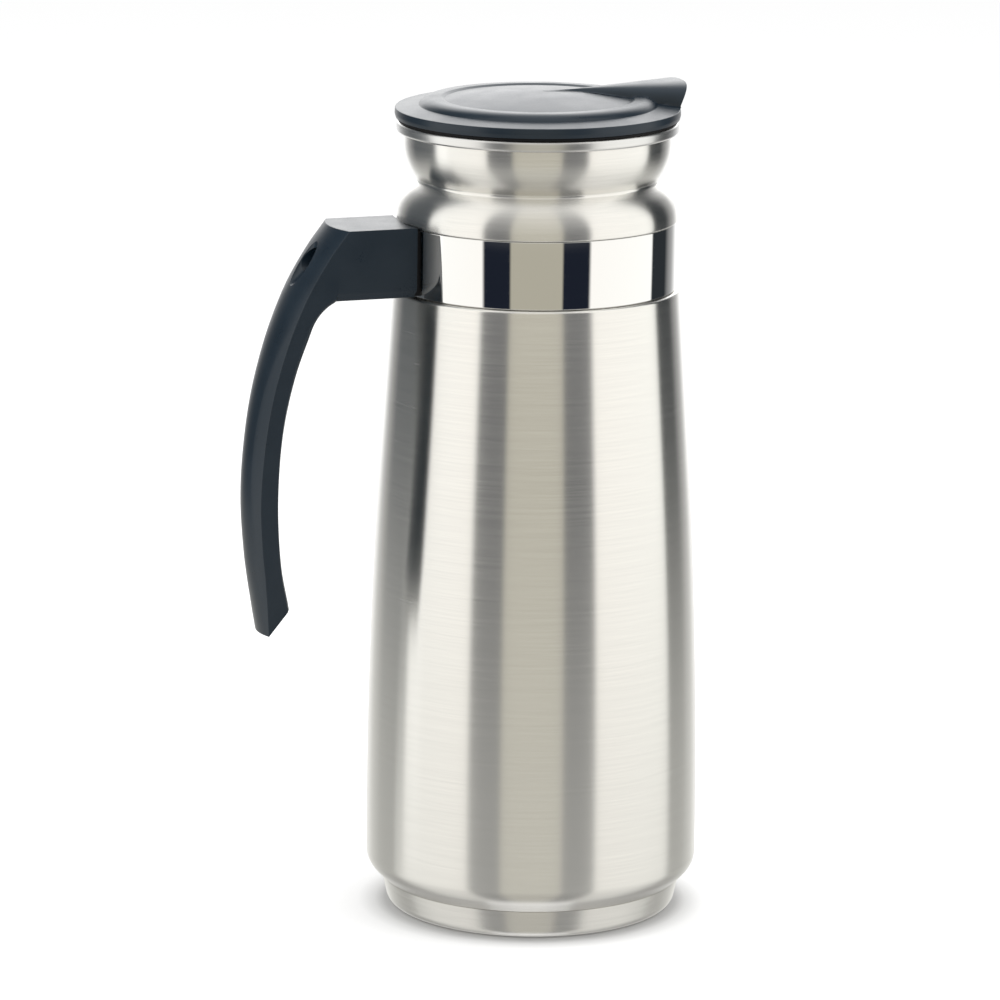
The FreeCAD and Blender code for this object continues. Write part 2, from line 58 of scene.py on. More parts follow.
# ---------------------------------------------------------------- node helpers
AXIS_CLEAR = 0.001           # keeps the brushing's coordinates finite on the axis
OUTWARD_SHARE = 0.7          # how fast level faces cross the brushing, against upright ones


def new_material(name):
    mat = bpy.data.materials.new(name)
    mat.use_nodes = True
    mat.node_tree.nodes.clear()
    return mat, mat.node_tree


def add(tree, kind, **values):
    """A shader node with its sockets and properties set by name."""
    node = tree.nodes.new(kind)
    for key, value in values.items():
        if key in node.inputs:
            node.inputs[key].default_value = value
        else:
            setattr(node, key, value)
    return node


def link(tree, source, target):
    tree.links.new(source, target)


def math_node(tree, operation, first, second=None):
    node = add(tree, "ShaderNodeMath", operation=operation)
    for socket, value in zip(node.inputs, (first, second)):
        if value is None:
            continue
        if isinstance(value, (int, float)):
            socket.default_value = value
        else:
            link(tree, value, socket)
    return node.outputs[0]


def principled(tree, **values):
    shader = add(tree, "ShaderNodeBsdfPrincipled")
    for key, value in values.items():
        shader.inputs[key.replace("_", " ")].default_value = value
    out = add(tree, "ShaderNodeOutputMaterial")
    link(tree, shader.outputs[0], out.inputs[0])
    return shader


def noise(tree, vector, scale, detail=3.0, roughness=0.55):
    node = add(tree, "ShaderNodeTexNoise", Scale=scale, Detail=detail, Roughness=roughness)
    link(tree, vector, node.inputs["Vector"])
    return node.outputs["Fac"]


def spread(tree, value, low, high, from_low=0.3, from_high=0.7):
    """Maps a value's usual range onto low..high."""
    node = add(tree, "ShaderNodeMapRange")
    link(tree, value, node.inputs["Value"])
    node.inputs["From Min"].default_value = from_low
    node.inputs["From Max"].default_value = from_high
    node.inputs["To Min"].default_value = low
    node.inputs["To Max"].default_value = high
    return node.outputs["Result"]


def object_vector(tree):
    return add(tree, "ShaderNodeTexCoord").outputs["Object"]


def lathe_vector(tree, along, across):
    """Coordinates that run round the jug's axis slowly and up it fast, for turned brushing."""
    split = add(tree, "ShaderNodeSeparateXYZ")
    link(tree, object_vector(tree), split.inputs[0])
    x, y, z = split.outputs
    squares = math_node(tree, "ADD", math_node(tree, "MULTIPLY", x, x),
                        math_node(tree, "MULTIPLY", y, y))
    radius = math_node(tree, "MAXIMUM", math_node(tree, "SQRT", squares), AXIS_CLEAR)
    join = add(tree, "ShaderNodeCombineXYZ")
    for socket, level in zip(join.inputs, (x, y)):
        share = math_node(tree, "DIVIDE", level, radius)
        link(tree, math_node(tree, "MULTIPLY", share, along), socket)
    rise = math_node(tree, "ADD", z, math_node(tree, "MULTIPLY", radius, OUTWARD_SHARE))
    link(tree, math_node(tree, "MULTIPLY", rise, across), join.inputs[2])
    return join.outputs[0]


def bump(tree, shader, height, strength, distance):
    node = add(tree, "ShaderNodeBump", Strength=strength, Distance=distance)
    link(tree, height, node.inputs["Height"])
    link(tree, node.outputs[0], shader.inputs["Normal"])


def mix_colours(tree, share, first, second):
    mix = add(tree, "ShaderNodeMix", data_type="RGBA")
    link(tree, share, mix.inputs["Factor"])
    for socket, colour in ((mix.inputs["A"], first), (mix.inputs["B"], second)):
        if isinstance(colour, tuple):
            socket.default_value = colour + (1,)
        else:
            link(tree, colour, socket)
    return mix.outputs["Result"]


def ramp_of(tree, value, low, high, stops):
    """Colour ramp over low..high of a value, from stops in the value's own units."""
    ramp = add(tree, "ShaderNodeValToRGB")
    link(tree, spread(tree, value, 0, 1, low, high), ramp.inputs[0])
    marks = ramp.color_ramp.elements
    while len(marks) < len(stops):
        marks.new(1.0)
    for mark, (place, colour) in zip(marks, stops):
        mark.position = (place - low) / (high - low)
        mark.color = (colour if isinstance(colour, tuple) else (colour,) * 3) + (1,)
    return ramp.outputs[0]


# ---------------------------------------------------------------- materials
BRUSH_TURN = 0.25            # quarter turn: the glints spread across the brushing
FINE_LINES, COARSE_LINES, CLOUD_LINES, BUFF_LINES = 5200, 900, 14, 700      # per metre
STEEL_GRAIN, MOTTLE, GRIT, DUST, FOAM_CELLS = 900, 90, 2600, 700, 900       # per metre
MOULD_CELL = 0.00022         # spark-eroded grain of the mould, metres


def scaled(colour, factor):
    return tuple(min(c * factor, 1) for c in colour)


def tint(tree, shader, share, first, second):
    """Lets the base colour wander between two colours."""
    link(tree, mix_colours(tree, share, first, second), shader.inputs["Base Color"])


def brushed_steel(name, colour, roughness, anisotropy, line=1.0):
    """Satin steel brushed round the axis: fine streaks, slow tone changes, stretched glints."""
    mat, tree = new_material(name)
    shader = principled(tree, Metallic=1.0, Anisotropic=anisotropy,
                        Anisotropic_Rotation=BRUSH_TURN)
    fine = noise(tree, lathe_vector(tree, 2.2, FINE_LINES * line), 1.0, 2.0)
    coarse = noise(tree, lathe_vector(tree, 1.1, COARSE_LINES * line), 1.0, 3.0)
    cloud = noise(tree, lathe_vector(tree, 1.6, CLOUD_LINES), 1.0, 2.0)
    streak = math_node(tree, "ADD", math_node(tree, "MULTIPLY", fine, 0.6),
                       math_node(tree, "MULTIPLY", coarse, 0.4))
    tint(tree, shader, spread(tree, streak, 0, 1, 0.35, 0.65),
         scaled(colour, 0.955), scaled(colour, 1.03))
    rough = math_node(tree, "ADD", spread(tree, streak, roughness - 0.02, roughness + 0.02),
                      spread(tree, cloud, -0.008, 0.008))
    link(tree, rough, shader.inputs["Roughness"])
    tangent = add(tree, "ShaderNodeTangent", direction_type="RADIAL", axis="Z")
    link(tree, tangent.outputs[0], shader.inputs["Tangent"])
    bump(tree, shader, streak, 0.05, 0.00003)
    return mat


def mirror_steel(name, colour):
    """Buffed band: almost clean reflections with the faintest polishing haze."""
    mat, tree = new_material(name)
    shader = principled(tree, Metallic=1.0, Base_Color=colour + (1,))
    haze = noise(tree, lathe_vector(tree, 1.4, BUFF_LINES), 1.0, 3.0)
    link(tree, spread(tree, haze, 0.02, 0.05), shader.inputs["Roughness"])
    bump(tree, shader, haze, 0.02, 0.00002)
    return mat


def plain_steel(name, colour, roughness):
    """Small hidden metal parts: an even grain with no direction."""
    mat, tree = new_material(name)
    shader = principled(tree, Metallic=1.0, Base_Color=colour + (1,))
    grain = noise(tree, object_vector(tree), STEEL_GRAIN, 4.0)
    link(tree, spread(tree, grain, roughness - 0.05, roughness + 0.07),
         shader.inputs["Roughness"])
    bump(tree, shader, grain, 0.06, 0.00003)
    return mat


def moulded(name, colour, roughness, ior=1.42):
    """Injection-moulded satin plastic: fine spark-eroded grain and soft mottling."""
    mat, tree = new_material(name)
    shader = principled(tree, IOR=ior)
    vector = object_vector(tree)
    cells = add(tree, "ShaderNodeTexVoronoi", Scale=1 / MOULD_CELL, feature="SMOOTH_F1")
    link(tree, vector, cells.inputs["Vector"])
    mottle = noise(tree, vector, MOTTLE, 4.0)
    grit = noise(tree, vector, GRIT, 2.0)
    tint(tree, shader, spread(tree, mottle, 0, 1), colour, scaled(colour, 1.15))
    rough = math_node(tree, "ADD", spread(tree, mottle, roughness - 0.03, roughness + 0.03),
                      spread(tree, grit, -0.03, 0.03))
    link(tree, rough, shader.inputs["Roughness"])
    bump(tree, shader, cells.outputs["Distance"], 0.35, 0.000008)
    return mat


def silicone(name, colour, shine=0.5):
    """Soft rubber or fused glass: dull, with a dusting of lighter specks."""
    mat, tree = new_material(name)
    shader = principled(tree, IOR=1.42, Specular_IOR_Level=shine)
    dust = noise(tree, object_vector(tree), DUST, 5.0)
    tint(tree, shader, spread(tree, dust, 0, 1), colour, scaled(colour, 1.25))
    link(tree, spread(tree, dust, 0.42, 0.6), shader.inputs["Roughness"])
    bump(tree, shader, dust, 0.1, 0.00005)
    return mat


def foam_material(name, colour):
    mat, tree = new_material(name)
    shader = principled(tree, IOR=1.4)
    cells = add(tree, "ShaderNodeTexVoronoi", Scale=FOAM_CELLS)
    link(tree, object_vector(tree), cells.inputs["Vector"])
    depth = cells.outputs["Distance"]
    # painted shade: the colour darkens in the pits of the cells, where the bump sinks
    tint(tree, shader, spread(tree, depth, 0, 1, 0.1, 0.6), scaled(colour, 0.8), colour)
    link(tree, spread(tree, depth, 0.75, 0.95), shader.inputs["Roughness"])
    bump(tree, shader, depth, 0.5, 0.0002)
    return mat


STEEL = (0.80, 0.79, 0.76)
materials = {
    "brushed_shell": brushed_steel("brushed_shell", STEEL, 0.25, 0.95),
    "mirror_band": mirror_steel("mirror_band", (0.78, 0.78, 0.77)),
    "inner_steel": brushed_steel("inner_steel", (0.72, 0.72, 0.71), 0.30, 0.4, 0.5),
    "screw_steel": plain_steel("screw_steel", (0.62, 0.62, 0.62), 0.28),
    "foil": plain_steel("foil", (0.88, 0.88, 0.88), 0.16),
    "getter_metal": plain_steel("getter_metal", (0.42, 0.42, 0.43), 0.55),
    "solder_glass": silicone("solder_glass", (0.16, 0.13, 0.10)),
    "black_plastic": moulded("black_plastic", (0.005, 0.012, 0.020), 0.32, 1.45),
    "stopper_plastic": moulded("stopper_plastic", (0.035, 0.035, 0.038), 0.42),
    "foam": foam_material("foam", (0.82, 0.78, 0.62)),
    "black_silicone": silicone("black_silicone", (0.004, 0.004, 0.005), 0.2),
    "seal_silicone": silicone("seal_silicone", (0.36, 0.37, 0.38)),
}
slot_of = {part["node"]: part["material_slot"] for part in frame["record"]["subparts"]}
body_of = {node: body for body, members in frame["record"]["behaviour"]["bodies"].items()
           for node in members}


def paint(obj, slot):
    obj.data.materials.clear()
    obj.data.materials.append(materials[slot])


# ---------------------------------------------------------------- mesh helpers
def finish_mesh(name, bm, crease=CREASE):
    """Turns a bmesh into a shaded object with its outward normals and crisp edges set."""
    bmesh.ops.remove_doubles(bm, verts=bm.verts, dist=1e-7)
    bmesh.ops.recalc_face_normals(bm, faces=bm.faces)
    mesh = bpy.data.meshes.new(name)
    bm.to_mesh(mesh)
    bm.free()
    obj = bpy.data.objects.new(name, mesh)
    shade(obj, crease)
    bpy.context.scene.collection.objects.link(obj)
    return obj


def shade(obj, crease=CREASE):
    for face in obj.data.polygons:
        face.use_smooth = True
    obj.data.set_sharp_from_angle(angle=math.radians(crease))


def circle(bm, count, place):
    """Ring of vertices, each where place(angle) puts it."""
    return [bm.verts.new(place(2 * math.pi * k / count)) for k in range(count)]


def join_rings(bm, one, two):
    """Faces between two rings. A ring of one vertex is a point on the axis."""
    count = max(len(one), len(two))
    for k in range(count):
        n = (k + 1) % count
        corners = [one[k % len(one)], one[n % len(one)], two[n % len(two)], two[k % len(two)]]
        unique = list(dict.fromkeys(corners))
        if len(unique) > 2:
            bm.faces.new(unique)


def dress(obj, node):
    """The new piece takes a CAD node's material and body."""
    paint(obj, slot_of[node])
    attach(obj, body_of[node])


def stand_for(obj, *members):
    """The new piece is shown in place of CAD nodes."""
    dress(obj, members[0])
    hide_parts(*members)


LONG_BEND_R = 500            # a bend this wide turns too little for steps by angle
LONG_BEND_STEPS = 16


def rounded_points(path, step=7.0):
    """Points along a path of (r, z, corner radius) with its corners turned into arcs."""
    spots = [Vector((r, z)) for r, z, _ in path]
    points = [spots[0]]
    for i in range(1, len(spots) - 1):
        corner = spots[i]
        into = (corner - spots[i - 1]).normalized()
        out = (spots[i + 1] - corner).normalized()
        turn = into.angle(out)
        radius = path[i][2]
        if radius <= 0 or turn < 1e-4:
            points.append(corner)
            continue
        reach = radius * math.tan(turn / 2)
        centre = corner - into * reach
        side = Vector((-into.y, into.x))
        side = side if side.dot(out) > 0 else -side
        centre = centre + side * radius
        count = max(2, math.ceil(math.degrees(turn) / step))
        if radius > LONG_BEND_R:
            count = LONG_BEND_STEPS
        for k in range(count + 1):
            angle = turn * k / count
            points.append(centre - side * radius * math.cos(angle)
                          + into * radius * math.sin(angle))
    points.append(spots[-1])
    return points


def offset_path(path, gap):
    """The path moved to its left by gap, with its corner rounds kept concentric."""
    spots = [Vector((r, z)) for r, z, _ in path]
    runs = [(b - a).normalized() for a, b in zip(spots, spots[1:])]
    lefts = [Vector((-run.y, run.x)) for run in runs]
    moved = [(spots[0] + lefts[0] * gap, 0)]
    for i in range(1, len(spots) - 1):
        before, after = lefts[i - 1], lefts[i]
        place = spots[i] + (before + after) * (gap / (1 + before.dot(after)))
        turns_left = runs[i - 1].x * runs[i].y - runs[i - 1].y * runs[i].x > 0
        radius = max(path[i][2] - gap if turns_left else path[i][2] + gap, 0)
        moved.append((place, radius if path[i][2] > 0 else 0))
    moved.append((spots[-1] + lefts[-1] * gap, 0))
    return [(p.x, p.y, radius) for p, radius in moved]


def lathe(name, outline):
    """Turned solid from a closed outline of (r, z) points in millimetres."""
    bm = bmesh.new()
    rings = []
    for r, z in outline:
        if r < 1e-6:
            rings.append([bm.verts.new((0, 0, z * MM))])
        else:
            rings.append(circle(bm, AXIS_POINTS, lambda turn: (
                r * MM * math.cos(turn), r * MM * math.sin(turn), z * MM)))
    for one, two in zip(rings, rings[1:] + rings[:1]):
        join_rings(bm, one, two)
    return finish_mesh(name, bm)


def turned_shell(name, path, thickness):
    """Turned wall whose outer face follows the path."""
    outer = rounded_points(path)
    inner = rounded_points(offset_path(path, thickness))
    outline = [(p.x, p.y) for p in outer] + [(p.x, p.y) for p in reversed(inner)]
    return lathe(name, outline)


def turned_solid(name, outline):
    """Turned solid from a closed outline of (r, z, corner radius) points."""
    points = rounded_points(outline + [(outline[0][0], outline[0][1], 0)])
    return lathe(name, [(p.x, p.y) for p in points[:-1]])


# ---------------------------------------------------------------- camera
FOCAL = 5649.35              # focal length in thousandths of the picture's width
SENSOR = 36.0                # millimetres
PITCH = math.radians(12.716)                  # how far the camera looks down
DISTANCE = 2.0376
ROLL = math.radians(0.506)
TURN = math.radians(19.0)    # how far the camera stands towards the handle from -Y
AIM_RIGHT = -0.01223         # the point looked at, from the base's centre
AIM_UP = 0.14899
CLIP = 0.1, 50


def make_camera():
    right = Vector((math.cos(TURN), -math.sin(TURN), 0))
    ahead = Vector((math.sin(TURN), math.cos(TURN), 0))
    up_world = Vector((0, 0, 1))
    look = ahead * math.cos(PITCH) - up_world * math.sin(PITCH)
    up = ahead * math.sin(PITCH) + up_world * math.cos(PITCH)
    place = right * AIM_RIGHT + up_world * AIM_UP - look * DISTANCE
    x_axis = right * math.cos(ROLL) + up * math.sin(ROLL)
    y_axis = up * math.cos(ROLL) - right * math.sin(ROLL)
    basis = Matrix((x_axis, y_axis, -look)).transposed().to_4x4()
    data = bpy.data.cameras.new("camera")
    data.sensor_width = SENSOR
    data.lens = FOCAL * SENSOR / 1000
    data.clip_start, data.clip_end = CLIP
    camera = bpy.data.objects.new("camera", data)
    bpy.context.scene.collection.objects.link(camera)
    camera.matrix_world = Matrix.Translation(place) @ basis
    bpy.context.scene.camera = camera


# ---------------------------------------------------------------- stage and light
CAMERA_BEARING = math.atan2(-math.cos(TURN), -math.sin(TURN))


def glossy_only(obj):
    obj.visible_camera = False
    obj.visible_diffuse = False
    obj.visible_transmission = False
    obj.visible_shadow = False
    obj.visible_volume_scatter = False


# The studio as reflections see it. Bearings are in degrees from the camera, heights in metres.
# Each list holds (bearing or height, colour or share) stops.
TENT_R, TENT_LOW, TENT_TOP = 0.85, -3.0, 2.6
TENT_SIDES = 96
TONE_LOW, TONE_HIGH = -0.8, 1.8               # heights that the tones below may use
GREY_CARD = (0.53, 0.50, 0.41)
DARK_CARD = (0.014, 0.018, 0.030)
DARK_SIDE = (0.03, 0.035, 0.04)
HANDLE_DARK = (0.10, 0.11, 0.12)
SIDE_WHITE = (1.45, 1.45, 1.42)
BACK_WHITE = (1.2, 1.2, 1.2)
FRONT_CARDS = [(0, GREY_CARD), (20.0, GREY_CARD), (21.6, DARK_CARD), (42.0, DARK_CARD),
               (44.4, (1.26, 1.23, 1.18))]
BACK_CARDS = [(136.0, (0.30, 0.30, 0.30)), (144.0, (0.48, 0.48, 0.48)), (158.0, BACK_WHITE),
              (180.0, BACK_WHITE)]
TENT_BEARINGS = FRONT_CARDS + [(106.0, (1.30, 1.30, 1.26)), (108.0, DARK_SIDE),
                               (128.0, DARK_SIDE)] + BACK_CARDS
HANDLE_SIDE = FRONT_CARDS + [(80.0, (1.28, 1.27, 1.23)), (84.0, SIDE_WHITE),
                             (94.0, SIDE_WHITE), (97.0, HANDLE_DARK),
                             (128.0, HANDLE_DARK)] + BACK_CARDS
HANDLE_SIDE_HEIGHTS = [(-0.18, 0.0), (-0.06, 1.0)]
CARD_HEIGHTS = [(-0.60, 0.40), (-0.30, 0.34), (-0.15, 0.38), (-0.05, 0.52), (0.02, 1.0),
                (0.14, 1.0), (0.28, 0.78), (0.5, 0.72), (0.9, 0.6), (1.6, 0.3)]
SIDE_HEIGHTS = [(-0.60, 0.23), (-0.30, 0.28), (-0.15, 0.38), (-0.05, 0.52), (0.02, 1.0)]
SIDE_BEARINGS = [(90.0, 0.0), (96.0, 1.0)]
FLOOR_TONES = [(-0.70, (0.45, 0.445, 0.43)), (-0.45, (0.62, 0.615, 0.59)),
               (-0.25, (0.88, 0.875, 0.83)), (0.1, (0.90, 0.89, 0.85)), (0.5, (1.15, 1.14, 1.11))]
BACK_HEIGHTS = [(0.24, 0.0), (0.34, 1.0)]
BACK_BEARINGS = [(146.0, 0.0), (162.0, 1.0)]
BACK_TONES = [(0.28, BACK_WHITE), (0.36, (2.4, 2.4, 2.4)), (0.95, (2.8, 2.8, 2.8)),
              (1.3, (2.0, 2.0, 2.0)), (1.7, (1.3, 1.3, 1.3))]


def reflection_tent():
    """Cylinder of light and dark cards that only reflections see: the studio round the jug."""
    bm = bmesh.new()
    low, top = [circle(bm, TENT_SIDES, lambda turn: (
        TENT_R * math.cos(turn), TENT_R * math.sin(turn), z)) for z in (TENT_LOW, TENT_TOP)]
    join_rings(bm, low, top)
    tent = finish_mesh("reflection_tent", bm)
    mat, tree = new_material("tent_cards")
    turn = add(tree, "ShaderNodeVectorRotate", rotation_type="Z_AXIS", Angle=-CAMERA_BEARING)
    link(tree, object_vector(tree), turn.inputs["Vector"])
    split = add(tree, "ShaderNodeSeparateXYZ")
    link(tree, turn.outputs[0], split.inputs[0])
    near, right, height = split.outputs        # towards the camera, and to its right
    bearing = math_node(tree, "ABSOLUTE", math_node(tree, "ARCTAN2", right, near))
    degrees = math_node(tree, "MULTIPLY", bearing, 180 / math.pi)
    on_left = math_node(tree, "LESS_THAN", right, 0.0)

    def by_height(stops):
        return ramp_of(tree, height, TONE_LOW, TONE_HIGH, stops)

    def by_bearing(stops):
        return ramp_of(tree, degrees, 0, 180, stops)

    left_share = math_node(tree, "MULTIPLY", on_left, by_height(HANDLE_SIDE_HEIGHTS))
    cards = mix_colours(tree, left_share, by_bearing(TENT_BEARINGS), by_bearing(HANDLE_SIDE))
    strength = mix_colours(tree, by_bearing(SIDE_BEARINGS), by_height(CARD_HEIGHTS),
                           by_height(SIDE_HEIGHTS))
    low_part = mix_colours(tree, strength, by_height(FLOOR_TONES), cards)
    back_share = math_node(tree, "MULTIPLY", by_height(BACK_HEIGHTS), by_bearing(BACK_BEARINGS))
    colour = mix_colours(tree, back_share, low_part, by_height(BACK_TONES))
    glow = add(tree, "ShaderNodeEmission", Strength=1.0)
    link(tree, colour, glow.inputs["Color"])
    out = add(tree, "ShaderNodeOutputMaterial")
    link(tree, glow.outputs[0], out.inputs[0])
    tent.data.materials.append(mat)
    glossy_only(tent)


FLOOR_HALF, FLOOR_Z = 14.0, -0.0002
SHADOW_RING_IN, SHADOW_RING_OUT = 0.048, 0.063        # ring of paper round the base, darkened by a painted contact shadow
PAINTED_SHADOW_STOPS = [(SHADOW_RING_IN, 0.0), (0.053, 0.12), (0.057, 0.70), (SHADOW_RING_OUT, 1.0)]
# painted contact shadow: the grey the paper darkens to next to the base
PAINTED_SHADOW_TONE = (0.50, 0.50, 0.50)
PAPER_TONES = (0.84, 0.84, 0.84), (0.86, 0.86, 0.86)
WORLD_STRENGTH = 1.12
LAMP_AIM_Z = 0.15
# name, bearing from the camera in degrees, height, distance, size and power of each lamp
LAMPS = [("soft_left", -75, 0.9, 1.1, (0.9, 1.2), 5), ("soft_right", 75, 0.9, 1.1, (0.9, 1.2), 5),
         ("overhead", 160, 1.4, 0.3, (1.4, 1.4), 8)]


def make_floor():
    bm = bmesh.new()
    bm.faces.new([bm.verts.new((sx * FLOOR_HALF, sy * FLOOR_HALF, FLOOR_Z))
                  for sx, sy in ((-1, -1), (1, -1), (1, 1), (-1, 1))])
    floor = finish_mesh("floor", bm)
    mat, tree = new_material("floor_paper")
    shader = principled(tree, Roughness=1.0, Specular_IOR_Level=0.0)
    vector = object_vector(tree)
    paper = mix_colours(tree, noise(tree, vector, 400, 3.0), *PAPER_TONES)
    reach = add(tree, "ShaderNodeVectorMath", operation="LENGTH")
    link(tree, vector, reach.inputs[0])
    # painted contact shadow: the paper darkens in a fixed ring round the base's foot
    painted_shadow = ramp_of(tree, reach.outputs["Value"], SHADOW_RING_IN, SHADOW_RING_OUT, PAINTED_SHADOW_STOPS)
    tint(tree, shader, painted_shadow, PAINTED_SHADOW_TONE, paper)
    floor.data.materials.append(mat)
    floor.visible_glossy = False


def make_world():
    world = bpy.data.worlds.new("studio")
    world.use_nodes = True
    tree = world.node_tree
    tree.nodes.clear()
    back = add(tree, "ShaderNodeBackground", Strength=WORLD_STRENGTH, Color=(1, 1, 1, 1))
    out = add(tree, "ShaderNodeOutputWorld")
    link(tree, back.outputs[0], out.inputs[0])
    bpy.context.scene.world = world


def make_lights():
    for name, bearing, height, distance, size, power in LAMPS:
        angle = CAMERA_BEARING + math.radians(bearing)
        data = bpy.data.lights.new(name, "AREA")
        data.shape = "RECTANGLE"
        data.size, data.size_y = size
        data.energy = power
        lamp = bpy.data.objects.new(name, data)
        place = Vector((distance * math.cos(angle), distance * math.sin(angle), height))
        lamp.location = place
        lamp.rotation_mode = "QUATERNION"
        lamp.rotation_quaternion = (Vector((0, 0, LAMP_AIM_Z)) - place).to_track_quat("-Z", "Y")
        lamp.visible_glossy = False
        bpy.context.scene.collection.objects.link(lamp)


# ---------------------------------------------------------------- turned pieces
def top_of(node):
    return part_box(node)[1].z / MM


def low_of(node):
    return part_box(node)[0].z / MM


def radius_of(node):
    low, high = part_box(node)
    return (high.y - low.y) / 2 / MM


# All sizes from here on are in millimetres.
SHELL_T = 0.8                                  # wall of the outer shell
INNER_T = 0.7                                  # wall of the inner vessel
WALL_GAP = 4.2                                 # from the outer face to the inner wall
BODY_R = radius_of("outer_shell") + 0.04
BAND_R = radius_of("collar_band")
BAND_LOW, BAND_TOP = low_of("collar_band"), top_of("collar_band")
SEAT_R = BAND_R - 1.1                          # recess that the band sits in
WELD_Z = top_of("outer_shell")
CUP_TOP = 10.5
CUP_TOP_R = 54.25
CUP_LOW_R = 51.9
CUP_LEVEL_T = 0.857                            # level thickness of the sloping cup wall
BASE_Z = 1.2                                   # the base's middle stands clear of the table
BODY_TOP_Z = BAND_LOW - 0.25
BODY_TOP_R = 51.4
BODY_BEND_Z = 99.0                             # where the upright wall meets the upper cone
BODY_BEND_R = 2168.0
NECK_LOW_Z = BAND_TOP + 0.1
BULGE_R = 50.35
WAIST_R, WAIST_UP = 42.9, 14.6                 # waist, and its height above the neck's foot
FLARE_R, FLARE_UP = 47.9, 21.2
VESSEL_R = 46.2                                # inner vessel above the shoulder
BORE_R = 40.9                                  # the stopper's seat
LIP_Z = top_of("inner_neck")
LIP_R = 50.2
LIP_DROP = 3.85                                # height of the rolled lip


def cup_radius(z):
    return CUP_LOW_R + (CUP_TOP_R - CUP_LOW_R) * z / CUP_TOP


def make_vessel():
    cup = [(0, BASE_Z, 0), (42.8, BASE_Z, 0.8), (44.2, 0, 0.9), (CUP_LOW_R, 0, 4.0),
           (cup_radius(CUP_TOP), CUP_TOP, 0)]
    stand_for(turned_shell("foot_cup", cup, SHELL_T), "base_cup")

    body = [(cup_radius(5.0) - CUP_LEVEL_T, 5.0, 0), (cup_radius(10.3) - CUP_LEVEL_T, 10.3, 0.3),
            (CUP_TOP_R + 0.1, 10.7, 0.2), (BODY_R, 16.2, 8.0), (BODY_R, BODY_BEND_Z, BODY_BEND_R),
            (BODY_TOP_R, BODY_TOP_Z, 1.0), (SEAT_R, BODY_TOP_Z, 0.6), (SEAT_R, WELD_Z, 0)]
    stand_for(turned_shell("body_shell", body, SHELL_T), "outer_shell")

    neck = [(SEAT_R, WELD_Z, 0), (SEAT_R, NECK_LOW_Z, 0.6), (BULGE_R, NECK_LOW_Z, 0.5),
            (BULGE_R, NECK_LOW_Z + 8.0, 15.8), (WAIST_R, NECK_LOW_Z + WAIST_UP, 1.15),
            (FLARE_R, NECK_LOW_Z + FLARE_UP, 20.5), (FLARE_R, LIP_Z - 0.75, 0)]
    stand_for(turned_shell("neck", neck, INNER_T), "neck_shell")

    hem = LIP_Z - LIP_DROP
    vessel = [(0, 16.5, 0), (28, 15.2, 60), (BODY_R - WALL_GAP, 19.5, 9),
              (BODY_R - WALL_GAP, BODY_BEND_Z, BODY_BEND_R - WALL_GAP),
              (BODY_TOP_R - WALL_GAP, 226.5, 12), (VESSEL_R, 236, 12), (VESSEL_R, 253.2, 8),
              (BORE_R, 261, 6), (BORE_R, 269.5, 5), (VESSEL_R, 277.2, 8),
              (VESSEL_R, LIP_Z - INNER_T, 0.3), (LIP_R - INNER_T, LIP_Z - INNER_T, 0.5),
              (LIP_R - INNER_T, hem + INNER_T, 0.3), (48.0, hem + INNER_T, 0)]
    stand_for(turned_shell("inner_wall", vessel, INNER_T), "inner_vessel", "inner_bottom",
              "inner_neck")

    foot_r = SEAT_R + 0.05                     # the band's back, just clear of its seat
    band = [(foot_r, BAND_LOW, 0), (BAND_R, BAND_LOW, 0.35), (BAND_R, BAND_TOP, 0.35),
            (foot_r, BAND_TOP, 0)]
    stand_for(turned_solid("polished_band", band), "collar_band")


# ---------------------------------------------------------------- lid
LID_LOW = low_of("lid_cover")
LID_T = 1.5
DOME_Z = LID_LOW + 9.4                         # centre of the disc
DOME_BEND = 180.0
DOME_EDGE = 31.5
GROOVE_R = 33.2                                # between the disc and the raised ring
FLANGE_Z = LID_LOW + 3.45
RING_Z = LID_LOW + 6.95
HOOD_TOP = top_of("lid_cover")
HOOD_T = 1.7
HOOD_FLOOR = LID_LOW + 2.5
HOOD_HALF, HOOD_HALF_X, HOOD_HALF_LEAST = 1.7, 15.0, 1.2    # half width, where, and its least
HOOD_SLOPE = 0.34                              # half width gained per length
HOOD_ROOT_X, HOOD_LENGTH = 4.0, 48.0           # where the top line starts, and its length
ROOT_DEPTH = 0.6                               # how far under the disc the top line starts
CREST_POWER = 0.8
FULLNESS = 3.0                                 # of the hood's arch: 2 would be an ellipse
HOOD_BLEND = 0.35                              # softness of the fillet where it meets the lid
ROOT_BLEND = 0.5                               # extra softness where it leaves the disc
ROOT_END_X, ROOT_FADE = 34.0, 14.0             # that softness ends here, over this length
LID_CLEAR = 0.012                              # the hood's foot lies this far above the lid
MOUTH_R, MOUTH_LEAN, MOUTH_FOOT = 50.7, 0.40, 0.6
MOUTH_SEARCH = 40.0, 58.0                      # the mouth lies between these distances
HOOD_STEPS, HOLLOW_STEPS = 60, 14
OUTER_START_X, INNER_START_X = 2.0, 24.0       # where the hood's two skins start
HOLLOW_X = 22.0, 60.0                          # ends of the block cut out of the lid
SKIRT = 1.3                                    # how far the outer skin flares past its sides


def lid_path():
    slope = math.asin(DOME_EDGE / DOME_BEND)
    reach = DOME_BEND * math.tan(slope / 2)
    groove_z = DOME_Z - (GROOVE_R - reach) * math.tan(slope)
    return [(50.5, LID_LOW, 0), (50.9, LID_LOW + 1.4, 2.0), (50.75, FLANGE_Z, 0.4),
            (42.4, FLANGE_Z + 1.0, 0.5), (40.3, RING_Z, 6.0), (34.5, RING_Z, 1.2),
            (GROOVE_R, groove_z, 0.4), (reach, DOME_Z, DOME_BEND), (0, DOME_Z, 0)]


